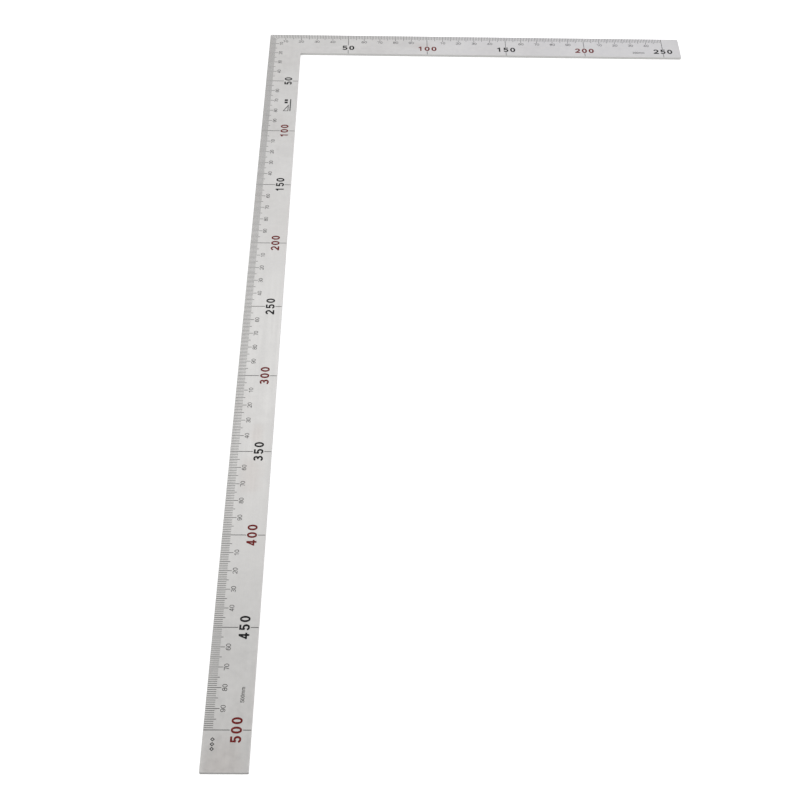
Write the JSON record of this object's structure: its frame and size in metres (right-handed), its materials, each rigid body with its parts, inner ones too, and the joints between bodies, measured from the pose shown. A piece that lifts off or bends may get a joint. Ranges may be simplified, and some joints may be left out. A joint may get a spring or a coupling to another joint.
{
  "type": "steel square",
  "caption": "Flat L-shaped steel square with two graduated arms, black and dark red numerals, for marking and checking right angles.",
  "frame": {"origin": "outer corner of the square, on the underside, where both scales start at zero", "axes": "+X along the short arm from the corner, -Y along the long arm, +Z out of the graduated upper face"},
  "size_m": [0.261, 0.5192, 0.0015],
  "materials": {
    "steel": "satin stainless sheet with a fine lengthwise grain",
    "black_ink": "matt printed marking ink",
    "red_ink": "matt printed marking ink"
  },
  "bodies": {
    "root": {"blade": "steel", "long_fifty_lines": "black_ink", "long_five_lines": "black_ink", "long_millimetre_lines": "black_ink", "long_numeral_050": "black_ink", "long_numeral_100": "red_ink", "long_numeral_150": "black_ink", "long_numeral_200": "red_ink", "long_numeral_250": "black_ink", "long_numeral_300": "red_ink", "long_numeral_350": "black_ink", "long_numeral_400": "red_ink", "long_numeral_450": "black_ink", "long_numeral_500": "red_ink", "long_range_label": "black_ink", "long_small_numerals": "black_ink", "long_ten_lines": "black_ink", "lozenge_marks": "black_ink", "short_fifty_lines": "black_ink", "short_five_lines": "black_ink", "short_millimetre_lines": "black_ink", "short_numeral_050": "black_ink", "short_numeral_100": "red_ink", "short_numeral_150": "black_ink", "short_numeral_200": "red_ink", "short_numeral_250": "black_ink", "short_range_label": "black_ink", "short_small_numerals": "black_ink", "short_ten_lines": "black_ink", "square_symbol": "black_ink"}
  },
  "joints": []
}
